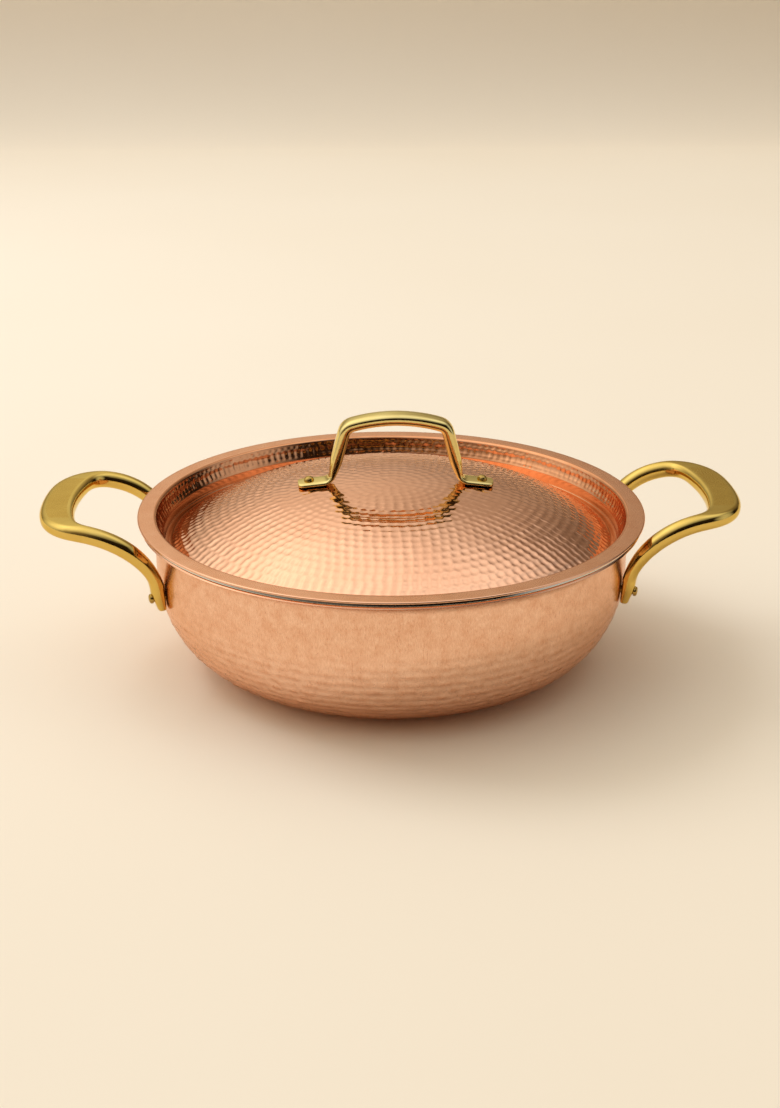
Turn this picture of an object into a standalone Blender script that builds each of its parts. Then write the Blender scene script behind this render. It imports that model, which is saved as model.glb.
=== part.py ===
"""A kadai: a round copper pan lined with steel, two cast brass side handles, and a domed copper lid.

The origin is the centre of the pan's flat base on the table. +X runs through the right-hand side handle and
+Z is up. The lid rests on the pan's flared lip by its own flat flange, and its recess hangs inside the wall.
Metres throughout.
"""
import math

import bmesh
import bpy
from mathutils import Matrix, Vector

# Pan
PAN_RADIUS = 0.1122        # outside of the upright copper wall
BASE_RADIUS = 0.066        # flat part of the base
CORNER_HEIGHT = 0.050      # table to where the round lower corner becomes the upright wall
UPRIGHT_HEIGHT = 0.0148    # upright wall between the corner and the flare
FLARE_RADIUS = 0.006       # where the wall turns outwards into the lip
LIP_LAND = 0.0005          # flat end of the lip past the flare
PAN_SKIN = 0.0008          # copper
PAN_LINING = 0.0014        # steel

# Lid
LID_SKIN = 0.0009          # copper
LID_LINING = 0.0005        # steel
LID_OVERHANG = 0.0013      # flange past the pan's lip
LID_CLEARANCE = 0.0007     # between the recess and the pan's lining
FLANGE_FILLET = 0.0017     # between the flange and the recess
LEDGE_DROP = 0.0083        # flange down to the ledge in the recess
LEDGE_WIDTH = 0.0010
VALLEY_DEPTH = 0.0058      # ledge down to the lowest line around the dome
VALLEY_INSET = 0.0026      # from the ledge in to that line
DOME_RISE = 0.0253         # from that line up to the crown

# Side handles
FOOT_AZIMUTH = math.radians(19.0)
FOOT_BELOW_RIVET = 0.0062
FOOT_ABOVE_RIVET = 0.0050
FOOT_WIDTH = 0.0093
FOOT_TIP_WIDTH = 0.0074
FOOT_THICKNESS = 0.0060
FOOT_TIP_THICKNESS = 0.0040
LEG_WIDTH = 0.0082
LEG_THICKNESS = 0.0080
ANKLE_LEAD = 0.0078        # how far a leg keeps to the wall above its foot
KNEE_REACH = 0.0061        # from the wall out to the point that pulls a leg outwards
KNEE_SPAN = 0.0858         # between the two legs' points
KNEE_DROP = 0.0050         # grip's centre down to them
SHOULDER_REACH = 0.0262    # from the wall out to where a leg starts to turn into the grip
LEG_SPAN = 0.0791          # between the centres of the two legs there
SHOULDER_DROP = 0.0009
SHOULDER_LEAD = 0.0096     # how far a leg keeps its way past there
CORNER_SPAN = 0.0620       # between the points that draw the grip's two corners
GRIP_REACH = 0.0447        # from the wall out to the grip's centre line
GRIP_RISE = 0.0050         # right grip's centre above the pan's lip
LEFT_GRIP_DROP = 0.0016    # the left grip stands a little lower
GRIP_WIDTH = 0.0161
GRIP_THICKNESS = 0.0098
GRIP_FLAT = 0.0037         # grip's centre up to the flat ground on its top

# Lid handle
ARCH_OFFSET = 0.0023       # off the crown, towards the right-hand side handle
ARCH_SETBACK = 0.0030      # off the crown, away from the front
ARCH_HEIGHT = 0.0357       # dome under the rivets up to the top of the arch
ARCH_CROWN = 0.0040        # rise of the arch's top between its shoulders
ANKLE_REACH = 0.0096       # from a rivet in to the foot's inner end
TOE_REACH = 0.0054         # from a rivet out to the toe
LEG_LEAN = 0.0070          # how much closer to the middle a shoulder stands than an ankle
STRAP_WIDTH = 0.0114
STRAP_THICKNESS = 0.0048
TOE_THICKNESS = 0.0023
SHOULDER_FILLET = 0.0056
ANKLE_FILLET = 0.0034
LID_RIVET_RADIUS = 0.0410  # from the handle's middle

# Rivets
SIDE_RIVET_DROP = 0.0289   # pan's lip down to the axis of a side handle's rivet
SIDE_SHANK_RADIUS = 0.0017
SIDE_HEAD_RADIUS = 0.0023
SIDE_HEAD_HEIGHT = 0.0026
SIDE_TAIL_RADIUS = 0.0036
SIDE_TAIL_HEIGHT = 0.0014
LID_SHANK_RADIUS = 0.0015
LID_HEAD_RADIUS = 0.0024
LID_HEAD_HEIGHT = 0.0020
LID_TAIL_RADIUS = 0.0030
LID_TAIL_HEIGHT = 0.0012

# Fits and mesh
FIT_GAP = 0.0003           # left between touching pieces
CUT_OVERRUN = 0.004        # how far a cutter runs past what it cuts
MERGE_DISTANCE = 0.00001
TURN_STEPS = 48            # flats around a turned piece
RIVET_STEPS = 12
FLARE_STEPS = 4
CORNER_STEPS = 9
DOME_STEPS = 9
FILLET_STEPS = 3
HEAD_STEPS = 3
LEG_STEPS = 9
GRIP_STEPS = 9
BEND_STEPS = 4
SECTION_POINTS = 12        # around a handle's section
CORNER_POWER = 2.15        # 2 would make the pan's lower corner an ellipse
CAST_POWER = 2.7           # 2 would make a side handle's section an ellipse
STRAP_POWER = 4.5          # the strap's section is nearly a rectangle
SHARP_ANGLE = math.radians(35)

# Shares, chosen by eye
CROWN_SHARE = 0.42         # of the dome's fall, what goes with the square of the radius
DRAFT_SHARE = 0.46         # of the flare, how far the recess leans out above the ledge
LIFT_SHARE = 0.2           # of the valley's depth, how high the dome's edge turns upright
FOOT_PLACE_SHARES = (0.0, 0.12, 0.42, 1.0)        # along a side foot from its tip
FOOT_WIDTH_SHARES = (0.0, 0.6, 1.0, 1.0)          # from the tip's width to the foot's
FOOT_THICKNESS_SHARES = (0.0, 0.4, 0.94, 1.0)     # from the tip's thickness to the foot's
LEG_SETTLE_SHARE = 0.62    # of a leg's run, where it has its own width
LEG_SWELL_SHARE = 0.83     # of a leg's run, where it has its own thickness
GRIP_SETTLE_SHARE = 0.83   # of a corner's run, where it has the grip's width
TOE_PLACE_SHARES = (0.0, 0.1, 0.28)               # along a lid foot from its toe
TOE_WIDTH_SHARES = (0.55, 0.86, 1.0)              # of the strap's width
ARCH_PLACE_SHARES = (0.55, 0.28, 0.0)             # of the shoulders' distance, points on the arch's top
ARCH_FALL_SHARES = (0.12, 0.03, 0.0)              # of the arch's rise, how far each lies below its top
THICKEN_SHARE = 0.4        # of a lid leg's height, where it has the strap's thickness

FLAT_SHARE = math.cos(math.pi / TURN_STEPS)   # a flat's distance from the axis over its corners'
HALF_TURN = math.pi
UP = Vector((0.0, 0.0, 1.0))

LINING_START = PAN_SKIN + FIT_GAP
PAN_WALL = LINING_START + PAN_LINING
PAN_HEIGHT = CORNER_HEIGHT + UPRIGHT_HEIGHT + FLARE_RADIUS + PAN_WALL
LIP_RADIUS = PAN_RADIUS + FLARE_RADIUS + LIP_LAND
LID_RADIUS = LIP_RADIUS + LID_OVERHANG
LID_TOP = PAN_HEIGHT + FIT_GAP + LID_SKIN
LID_LINING_START = LID_SKIN + FIT_GAP
LEDGE_RADIUS = PAN_RADIUS - PAN_WALL - LID_CLEARANCE - LID_SKIN
LEDGE_Z = LID_TOP - LEDGE_DROP
VALLEY_RADIUS = LEDGE_RADIUS - VALLEY_INSET
VALLEY_Z = LEDGE_Z - VALLEY_DEPTH
CROWN_Z = VALLEY_Z + DOME_RISE
SIDE_RIVET_Z = PAN_HEIGHT - SIDE_RIVET_DROP


def clear_scene():
    for old in list(bpy.data.objects):
        bpy.data.objects.remove(old, do_unlink=True)


def new_collection(name):
    made = bpy.data.collections.new(name)
    bpy.context.scene.collection.children.link(made)
    return made


def new_material(name, colour, roughness, metallic):
    made = bpy.data.materials.new(name)
    made.use_nodes = True
    shader = made.node_tree.nodes["Principled BSDF"]
    shader.inputs["Base Color"].default_value = (*colour, 1.0)
    shader.inputs["Roughness"].default_value = roughness
    shader.inputs["Metallic"].default_value = metallic
    made.diffuse_color = (*colour, 1.0)
    return made


def new_object(name, mesh, material, collection):
    made = bpy.data.objects.new(name, mesh)
    collection.objects.link(made)
    if material is not None:
        mesh.materials.clear()
        mesh.materials.append(material)
    return made


def arc(centre, radius, start, end, count):
    """Points on an arc in the XZ plane, from angle start to angle end in degrees, as (x, z)."""
    points = []
    for step in range(count + 1):
        angle = math.radians(start + (end - start) * step / count)
        points.append((centre[0] + radius * math.cos(angle), centre[1] + radius * math.sin(angle)))
    return points


def offset_outline(points, distance):
    """The outline moved by distance to the right of its direction, mitred, its ends kept on the axis."""
    normals = []
    for first, second in zip(points, points[1:]):
        run = Vector((second[0] - first[0], second[1] - first[1])).normalized()
        normals.append(Vector((run.y, -run.x)))
    moved = []
    for index, point in enumerate(points):
        before = normals[max(index - 1, 0)]
        after = normals[min(index, len(normals) - 1)]
        mitre = (before + after) / (1.0 + before.dot(after))
        across = 0.0 if point[0] == 0.0 else mitre.x * distance
        moved.append((point[0] + across, point[1] + mitre.y * distance))
    return moved


def turned(name, outline, steps, material, collection):
    """A solid of revolution about Z. The outline starts and ends on the axis, clockwise in XZ."""
    mesh = bpy.data.meshes.new(name)
    edges = [(index, index + 1) for index in range(len(outline) - 1)]
    mesh.from_pydata([(x, 0.0, z) for x, z in outline], edges, [])
    made = new_object(name, mesh, material, collection)
    screw = made.modifiers.new("turn", "SCREW")
    screw.axis = "Z"
    screw.angle = 2.0 * HALF_TURN
    screw.steps = steps
    screw.render_steps = steps
    screw.use_merge_vertices = True
    screw.merge_threshold = MERGE_DISTANCE
    screw.use_smooth_shade = True
    return made


def pan_outline():
    """The pan's outside from the lip's outer edge down to the middle of the base."""
    lip_z = PAN_HEIGHT - PAN_WALL
    flare_centre = (PAN_RADIUS + FLARE_RADIUS, lip_z - FLARE_RADIUS)
    points = [(LIP_RADIUS, lip_z)]
    points += arc(flare_centre, FLARE_RADIUS, 90.0, 180.0, FLARE_STEPS)
    for step in range(CORNER_STEPS + 1):
        angle = 0.5 * HALF_TURN * step / CORNER_STEPS
        across = math.cos(angle) ** (2.0 / CORNER_POWER)
        down = math.sin(angle) ** (2.0 / CORNER_POWER)
        radius = BASE_RADIUS + (PAN_RADIUS - BASE_RADIUS) * across
        points.append((radius, CORNER_HEIGHT * (1.0 - down)))
    points.append((0.0, 0.0))
    return points


def dome_height(radius):
    """Height of the lid's dome above the table at a radius, flat at the crown and steep at its edge."""
    share = radius / VALLEY_RADIUS
    fall = CROWN_SHARE * share ** 2 + (1.0 - CROWN_SHARE) * share ** 4
    return CROWN_Z - DOME_RISE * fall


def dome_slope(radius):
    """How steeply the dome falls outwards at a radius, in radians."""
    share = radius / VALLEY_RADIUS
    fall = 2.0 * CROWN_SHARE * share + 4.0 * (1.0 - CROWN_SHARE) * share ** 3
    return math.atan(DOME_RISE * fall / VALLEY_RADIUS)


def lid_inner_outline(stop_short):
    """The lid's top side from the crown out over the dome, the valley and up to a stop below the ledge."""
    points = []
    for step in range(DOME_STEPS + 1):
        radius = VALLEY_RADIUS * step / DOME_STEPS
        points.append((radius, dome_height(radius)))
    points.append((LEDGE_RADIUS - LEDGE_WIDTH, VALLEY_Z + LIFT_SHARE * VALLEY_DEPTH))
    points.append((LEDGE_RADIUS - LEDGE_WIDTH, LEDGE_Z - LEDGE_WIDTH - stop_short))
    return points


def lid_outline():
    """The lid's whole top side, from the crown to the flange's outer edge."""
    flange_start = LEDGE_RADIUS + DRAFT_SHARE * FLARE_RADIUS + FLANGE_FILLET
    points = lid_inner_outline(0.0)
    points.append((LEDGE_RADIUS, LEDGE_Z))
    points += arc((flange_start, LID_TOP - FLANGE_FILLET), FLANGE_FILLET, 170.0, 90.0, FILLET_STEPS)
    points.append((LID_RADIUS, LID_TOP))
    return points


def bezier(points, share):
    """A point and a direction on a cubic curve."""
    keep = 1.0 - share
    place = (points[0] * keep ** 3 + points[1] * 3.0 * keep ** 2 * share
             + points[2] * 3.0 * keep * share ** 2 + points[3] * share ** 3)
    run = ((points[1] - points[0]) * keep ** 2 + (points[2] - points[1]) * 2.0 * keep * share
           + (points[3] - points[2]) * share ** 2)
    return place, run.normalized()


def section_ring(place, across, normal, width, thickness, power):
    """A superellipse around a place: an ellipse at power 2, squarer as the power grows."""
    ring = []
    for step in range(SECTION_POINTS):
        angle = 2.0 * HALF_TURN * step / SECTION_POINTS
        u = math.copysign(abs(math.cos(angle)) ** (2.0 / power), math.cos(angle))
        v = math.copysign(abs(math.sin(angle)) ** (2.0 / power), math.sin(angle))
        ring.append(place + across * (0.5 * width * u) + normal * (0.5 * thickness * v))
    return ring


def loft(name, rings, material, collection):
    """A closed solid through rings of equally many points, capped at both ends."""
    shape = bmesh.new()
    rows = [[shape.verts.new(point) for point in ring] for ring in rings]
    for lower, upper in zip(rows, rows[1:]):
        for index in range(SECTION_POINTS):
            following = (index + 1) % SECTION_POINTS
            shape.faces.new((lower[index], lower[following], upper[following], upper[index]))
    shape.faces.new(rows[0])
    shape.faces.new(rows[-1])
    bmesh.ops.recalc_face_normals(shape, faces=shape.faces[:])
    mesh = bpy.data.meshes.new(name)
    shape.to_mesh(mesh)
    shape.free()
    mesh.shade_smooth()
    mesh.set_sharp_from_angle(angle=SHARP_ANGLE)
    return new_object(name, mesh, material, collection)


def mix(first, second, share):
    return first + (second - first) * share


def ease(first, second, share):
    """A value that leaves first and reaches second gently, as share goes from 0 to 1 and past it."""
    held = min(1.0, max(0.0, share))
    return mix(first, second, held * held * (3.0 - 2.0 * held))


def wall_flat(outline, height):
    """Radius and tilt of the flat of the pan's wall that lies at a height, midway between its corners."""
    for upper, lower in zip(outline, outline[1:]):
        if lower[1] <= height < upper[1]:
            rise = upper[1] - lower[1]
            run = FLAT_SHARE * (upper[0] - lower[0])
            radius = FLAT_SHARE * lower[0] + run * (height - lower[1]) / rise
            return radius, math.atan2(run, rise)
    raise ValueError("no wall at that height")


def wall_frame(azimuth):
    """The place on the wall under a side rivet, the way straight out of it and the way up along it."""
    radius, tilt = wall_flat(pan_outline(), SIDE_RIVET_Z)
    outward = Vector((math.cos(azimuth), math.sin(azimuth), 0.0))
    place = outward * radius + UP * SIDE_RIVET_Z
    return place, outward * math.cos(tilt) - UP * math.sin(tilt), outward * math.sin(tilt) + UP * math.cos(tilt)


def run_rings(points, steps, widths, thicknesses, width_settle, thickness_settle):
    """Rings along a cubic curve, whose section eases from the first width and thickness to the second."""
    rings = []
    for step in range(1, steps + 1):
        share = step / steps
        place, run = bezier(points, share)
        across = UP.cross(run).normalized()
        width = ease(*widths, share / width_settle)
        thickness = ease(*thicknesses, share / thickness_settle)
        rings.append(section_ring(place, across, run.cross(across), width, thickness, CAST_POWER))
    return rings


def side_handle_rings(grip_drop):
    """Rings from the rear foot of the right handle, over the grip's middle, to the front foot."""
    rivet_place, out_of_wall, along_wall = wall_frame(FOOT_AZIMUTH)
    tangent = UP.cross(out_of_wall).normalized()
    seat = rivet_place + out_of_wall * FIT_GAP
    half = []
    for place_share, width_share, thickness_share in zip(FOOT_PLACE_SHARES, FOOT_WIDTH_SHARES,
                                                         FOOT_THICKNESS_SHARES):
        width = mix(FOOT_TIP_WIDTH, FOOT_WIDTH, width_share)
        thickness = mix(FOOT_TIP_THICKNESS, FOOT_THICKNESS, thickness_share)
        along = mix(-FOOT_BELOW_RIVET, FOOT_ABOVE_RIVET, place_share)
        place = seat + along_wall * along + out_of_wall * (0.5 * thickness)
        half.append(section_ring(place, tangent, -out_of_wall, width, thickness, CAST_POWER))

    grip_z = PAN_HEIGHT + GRIP_RISE - grip_drop
    ankle = seat + along_wall * FOOT_ABOVE_RIVET + out_of_wall * (0.5 * FOOT_THICKNESS)
    knee = Vector((PAN_RADIUS + KNEE_REACH, 0.5 * KNEE_SPAN, grip_z - KNEE_DROP))
    shoulder = Vector((PAN_RADIUS + SHOULDER_REACH, 0.5 * LEG_SPAN, grip_z - SHOULDER_DROP))
    lead = (shoulder - knee).normalized() * SHOULDER_LEAD
    corner = Vector((PAN_RADIUS + GRIP_REACH, 0.5 * CORNER_SPAN, grip_z))
    grip_middle = Vector((PAN_RADIUS + GRIP_REACH, 0.0, grip_z))
    half += run_rings([ankle, ankle + along_wall * ANKLE_LEAD, knee, shoulder], LEG_STEPS,
                      (FOOT_WIDTH, LEG_WIDTH), (FOOT_THICKNESS, LEG_THICKNESS),
                      LEG_SETTLE_SHARE, LEG_SWELL_SHARE)
    half += run_rings([shoulder, shoulder + lead, corner, grip_middle], GRIP_STEPS,
                      (LEG_WIDTH, GRIP_WIDTH), (LEG_THICKNESS, GRIP_THICKNESS), GRIP_SETTLE_SHARE, 1.0)
    front = [[Vector((point.x, -point.y, point.z)) for point in ring] for ring in half[-2::-1]]
    flat_z = grip_z + GRIP_FLAT
    return [[Vector((point.x, point.y, min(point.z, flat_z))) for point in ring] for ring in half + front]


def rounded_path(corners, radii, count):
    """Points along straight runs whose corners are arcs of the given radii."""
    points = [corners[0]]
    for before, corner, after, radius in zip(corners, corners[1:], corners[2:], radii):
        back = (before - corner).normalized()
        ahead = (after - corner).normalized()
        half_angle = 0.5 * back.angle(ahead)
        reach = radius / math.tan(half_angle)
        middle = corner + (back + ahead).normalized() * (radius / math.sin(half_angle))
        first = corner + back * reach - middle
        last = corner + ahead * reach - middle
        turn = first.angle(last)
        for step in range(count + 1):
            share = step / count
            spoke = (first * math.sin((1.0 - share) * turn) + last * math.sin(share * turn)) / math.sin(turn)
            points.append(middle + spoke)
    points.append(corners[-1])
    return points


def lid_handle_placement():
    """Where the arch stands: off the crown by its offset, leant so that both feet meet the dome."""
    high = dome_height(LID_RIVET_RADIUS - ARCH_OFFSET)
    low = dome_height(LID_RIVET_RADIUS + ARCH_OFFSET)
    lean = math.atan2(high - low, 2.0 * LID_RIVET_RADIUS)
    return Matrix.Translation((ARCH_OFFSET, ARCH_SETBACK, 0.5 * (high + low))) @ Matrix.Rotation(lean, 4, "Y")


def lid_handle_path():
    """The strap's centre line from the toe on +X to the top of the arch, above the dome under the rivets."""
    slope = dome_slope(LID_RIVET_RADIUS)
    lift = (FIT_GAP + 0.5 * TOE_THICKNESS) / math.cos(slope)
    ankle_x = LID_RIVET_RADIUS - ANKLE_REACH
    shoulder_x = ankle_x - LEG_LEAN
    top_z = ARCH_HEIGHT - 0.5 * STRAP_THICKNESS
    toe = Vector((LID_RIVET_RADIUS + TOE_REACH, 0.0, lift - TOE_REACH * math.tan(slope)))
    ankle = Vector((ankle_x, 0.0, lift + ANKLE_REACH * math.tan(slope)))
    shoulder = Vector((shoulder_x, 0.0, top_z - ARCH_CROWN))
    arch = []
    for place_share, fall_share in zip(ARCH_PLACE_SHARES, ARCH_FALL_SHARES):
        arch.append(Vector((place_share * shoulder_x, 0.0, top_z - fall_share * ARCH_CROWN)))
    bends = rounded_path([toe, ankle, shoulder, arch[0]], [ANKLE_FILLET, SHOULDER_FILLET], BEND_STEPS)
    return [toe.lerp(ankle, share) for share in TOE_PLACE_SHARES] + bends[1:] + arch[1:]


def lid_handle_rings():
    """Rings from the toe on +X, over the arch, to the toe on -X."""
    half = lid_handle_path()
    path = half + [Vector((-point.x, 0.0, point.z)) for point in half[-2::-1]]
    foot_z = half[0].z
    thick_z = mix(foot_z, half[-1].z, THICKEN_SHARE)
    across = Vector((0.0, 1.0, 0.0))
    rings = []
    for index, place in enumerate(path):
        before = path[max(index - 1, 0)]
        after = path[min(index + 1, len(path) - 1)]
        run = (after - before).normalized()
        from_end = min(index, len(path) - 1 - index, len(TOE_WIDTH_SHARES) - 1)
        width = STRAP_WIDTH * TOE_WIDTH_SHARES[from_end]
        thickness = ease(TOE_THICKNESS, STRAP_THICKNESS, (place.z - foot_z) / (thick_z - foot_z))
        rings.append(section_ring(place, across, run.cross(across), width, thickness, STRAP_POWER))
    return rings


def rivet_outline(shank, length, head, head_height, tail, tail_height):
    """A rivet along Z, clockwise: head dome on top, shank from z = 0 down, tail dome below."""
    points = []
    for step in range(HEAD_STEPS + 1):
        angle = 0.5 * HALF_TURN * step / HEAD_STEPS
        points.append((head * math.sin(angle), head_height * math.cos(angle)))
    points.append((shank, 0.0))
    points.append((shank, -length))
    for step in range(HEAD_STEPS + 1):
        angle = 0.5 * HALF_TURN * step / HEAD_STEPS
        points.append((tail * math.cos(angle), -length - tail_height * math.sin(angle)))
    return points


def facing(place, direction):
    """A placement at place whose +Z looks along direction."""
    return Matrix.Translation(place) @ direction.to_track_quat("Z", "Y").to_matrix().to_4x4()


def shank_cutter(name, radius, length, placement, collection):
    shape = bmesh.new()
    bmesh.ops.create_cone(shape, cap_ends=True, segments=RIVET_STEPS, radius1=radius + FIT_GAP,
                          radius2=radius + FIT_GAP, depth=length + 2.0 * CUT_OVERRUN)
    mesh = bpy.data.meshes.new(name)
    shape.to_mesh(mesh)
    shape.free()
    made = new_object(name, mesh, None, collection)
    made.matrix_world = placement @ Matrix.Translation((0.0, 0.0, -0.5 * length))
    made.hide_render = True
    made.display_type = "WIRE"
    return made


def cut(target, cutter):
    hole = target.modifiers.new(cutter.name, "BOOLEAN")
    hole.operation = "DIFFERENCE"
    hole.solver = "EXACT"
    hole.object = cutter


def build():
    clear_scene()
    parts = new_collection("kadai")
    cutters = new_collection("cutters")
    copper = new_material("copper", (0.80, 0.43, 0.27), 0.30, 1.0)
    hammered_copper = new_material("hammered_copper", (0.83, 0.47, 0.29), 0.16, 1.0)
    steel = new_material("steel", (0.66, 0.65, 0.63), 0.25, 1.0)
    brass = new_material("brass", (0.78, 0.60, 0.26), 0.14, 1.0)

    outside = pan_outline()
    skin_inside = offset_outline(outside, PAN_SKIN)
    lining_outside = offset_outline(outside, LINING_START)
    lining_inside = offset_outline(outside, PAN_WALL)
    pan_shell = turned("pan_copper_shell", skin_inside[::-1] + outside, TURN_STEPS, copper, parts)
    pan_lining = turned("pan_steel_lining", lining_inside[::-1] + lining_outside, TURN_STEPS, steel, parts)

    lid_side = lid_outline()
    lid_under = offset_outline(lid_side, LID_SKIN)
    lid_shell = turned("lid_copper_shell", lid_side + lid_under[::-1], TURN_STEPS, hammered_copper, parts)
    inner_side = lid_inner_outline(LEDGE_WIDTH + LID_LINING_START)
    backing_top = offset_outline(inner_side, LID_LINING_START)
    backing_under = offset_outline(inner_side, LID_LINING_START + LID_LINING)
    lid_lining = turned("lid_steel_lining", backing_top + backing_under[::-1], TURN_STEPS, steel, parts)

    # Lid pieces hang from an empty on the lid's lifting axis
    lid_axis = bpy.data.objects.new("lid_axis", None)
    parts.objects.link(lid_axis)
    lid_shell.parent = lid_axis
    lid_lining.parent = lid_axis

    side_grip = FIT_GAP + FOOT_THICKNESS + FIT_GAP
    side_length = side_grip + PAN_WALL + FIT_GAP
    rivet = rivet_outline(SIDE_SHANK_RADIUS, side_length, SIDE_HEAD_RADIUS, SIDE_HEAD_HEIGHT,
                          SIDE_TAIL_RADIUS, SIDE_TAIL_HEIGHT)
    for side, turn, grip_drop in (("right", 0.0, 0.0), ("left", HALF_TURN, LEFT_GRIP_DROP)):
        handle = loft(side + "_side_handle", side_handle_rings(grip_drop), brass, parts)
        handle.rotation_euler = (0.0, 0.0, turn)
        for end, sign in (("rear", 1.0), ("front", -1.0)):
            azimuth = turn + (sign if side == "right" else -sign) * FOOT_AZIMUTH
            place, out_of_wall, along_wall = wall_frame(azimuth)
            placement = facing(place + out_of_wall * side_grip, out_of_wall)
            name = "_".join((side, end))
            made = turned(name + "_handle_rivet", rivet, RIVET_STEPS, brass, parts)
            made.matrix_world = placement
            cutter = shank_cutter(name + "_hole", SIDE_SHANK_RADIUS, side_length, placement, cutters)
            for target in (handle, pan_shell, pan_lining):
                cut(target, cutter)

    arch = loft("lid_handle", lid_handle_rings(), brass, parts)
    arch_placement = lid_handle_placement()
    arch.matrix_world = arch_placement
    arch.parent = lid_axis
    lid_grip = FIT_GAP + TOE_THICKNESS + FIT_GAP
    lid_length = lid_grip + LID_SKIN + FIT_GAP + LID_LINING + FIT_GAP
    rivet = rivet_outline(LID_SHANK_RADIUS, lid_length, LID_HEAD_RADIUS, LID_HEAD_HEIGHT,
                          LID_TAIL_RADIUS, LID_TAIL_HEIGHT)
    slope = dome_slope(LID_RIVET_RADIUS)
    for side, sign in (("right", 1.0), ("left", -1.0)):
        direction = Vector((sign * math.sin(slope), 0.0, math.cos(slope)))
        head = Vector((sign * LID_RIVET_RADIUS, 0.0, 0.0)) + direction * lid_grip
        placement = arch_placement @ facing(head, direction)
        made = turned(side + "_lid_rivet", rivet, RIVET_STEPS, brass, parts)
        made.matrix_world = placement
        made.parent = lid_axis
        cutter = shank_cutter(side + "_lid_hole", LID_SHANK_RADIUS, lid_length, placement, cutters)
        for target in (arch, lid_shell, lid_lining):
            cut(target, cutter)


build()
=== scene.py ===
# %% [markdown]
# # A lidded copper kadai
# The real object is a copper pan lined with steel, two cast brass side handles, and a spun and hammered
# copper lid with a strap handle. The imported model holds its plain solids. This lesson builds the surface of
# each piece over them as mathematics on grids, and gives each metal the finish that its maker gave it.

import math

import bpy
import numpy as np
from mathutils import Matrix, Vector


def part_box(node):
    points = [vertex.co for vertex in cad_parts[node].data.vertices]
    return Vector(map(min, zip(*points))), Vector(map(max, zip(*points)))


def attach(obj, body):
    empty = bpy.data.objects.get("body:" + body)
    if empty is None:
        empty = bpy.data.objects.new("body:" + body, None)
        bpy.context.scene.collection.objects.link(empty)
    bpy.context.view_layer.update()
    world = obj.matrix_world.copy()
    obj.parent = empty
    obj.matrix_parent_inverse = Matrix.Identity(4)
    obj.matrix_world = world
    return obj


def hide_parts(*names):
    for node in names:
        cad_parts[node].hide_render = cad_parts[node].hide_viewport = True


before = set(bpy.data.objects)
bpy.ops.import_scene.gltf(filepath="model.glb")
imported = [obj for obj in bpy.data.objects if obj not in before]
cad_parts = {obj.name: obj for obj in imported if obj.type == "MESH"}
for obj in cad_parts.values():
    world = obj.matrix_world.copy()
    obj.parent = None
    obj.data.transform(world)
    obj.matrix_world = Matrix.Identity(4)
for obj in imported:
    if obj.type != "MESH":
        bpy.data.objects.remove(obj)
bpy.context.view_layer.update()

# %% [markdown]
# ## Sizes
# The lip, the lid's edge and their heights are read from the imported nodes. What a box can't say, such as how
# the wall curves or where a handle bends, is a size of its own here. Most are the same as in the construction.
# The strap, the side rivets' heads, the ledge and the sheets' edges are shaped a little more finely.
# Everything is in metres.

# %% Sizes of the pan and the lid
PAN_SKIN = 0.0008
LIP_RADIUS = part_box("pan_copper_shell")[1].x
LIP_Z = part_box("pan_copper_shell")[1].z - PAN_SKIN      # the lip's under side
PAN_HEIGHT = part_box("pan_steel_lining")[1].z
LID_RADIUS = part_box("lid_copper_shell")[1].x

BASE_RADIUS = 0.066
CORNER_HEIGHT = 0.050       # table to where the round lower corner becomes the upright wall
CORNER_POWER = 2.15         # 2 would make that corner an ellipse
FLARE_RADIUS = 0.006
LIP_LAND = 0.0005
PAN_RADIUS = LIP_RADIUS - FLARE_RADIUS - LIP_LAND
LINING_START = 0.0011
PAN_WALL = PAN_HEIGHT - LIP_Z

LID_SKIN = 0.0009
LID_LINING = 0.0005
LID_CLEARANCE = 0.0007
FIT_GAP = 0.0003
LID_TOP = PAN_HEIGHT + FIT_GAP + LID_SKIN
LEDGE_RADIUS = PAN_RADIUS - PAN_WALL - LID_CLEARANCE - LID_SKIN
WALL_SET = 0.0005           # how far outside the ledge the upright wall begins
LEDGE_Z = LID_TOP - 0.0083
VALLEY_RADIUS = LEDGE_RADIUS - 0.0026
VALLEY_Z = LEDGE_Z - 0.0058
DOME_RISE = 0.0253
CROWN_SHARE = 0.42          # of the dome's fall, what goes with the square of the radius
CROWN_Z = VALLEY_Z + DOME_RISE
FLANGE_FILLET = 0.0017
FLANGE_START = LEDGE_RADIUS + 0.0028 + FLANGE_FILLET
print("pan", round(PAN_RADIUS * 2000, 1), "mm wide,", round(PAN_HEIGHT * 1000, 1), "mm high")

# %% [markdown]
# ## The camera
# A plain pinhole camera stands in front of the pan, a little over 20 degrees above it and 78 cm from the
# middle of the lid. A whole picture is 780 by 1108 points, and Blender measures the lens on its long side.

# %% The camera
PICTURE_HEIGHT = 1108
FOCAL_LENGTH = 1614.57      # in points of the picture
SENSOR = 36.0
CAMERA_DISTANCE = 0.780
CAMERA_PITCH = math.radians(21.267)
CAMERA_TURN = math.radians(-2.3)
AIM = Vector((-0.00053, 0.0, LID_TOP - 0.02526))

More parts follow.
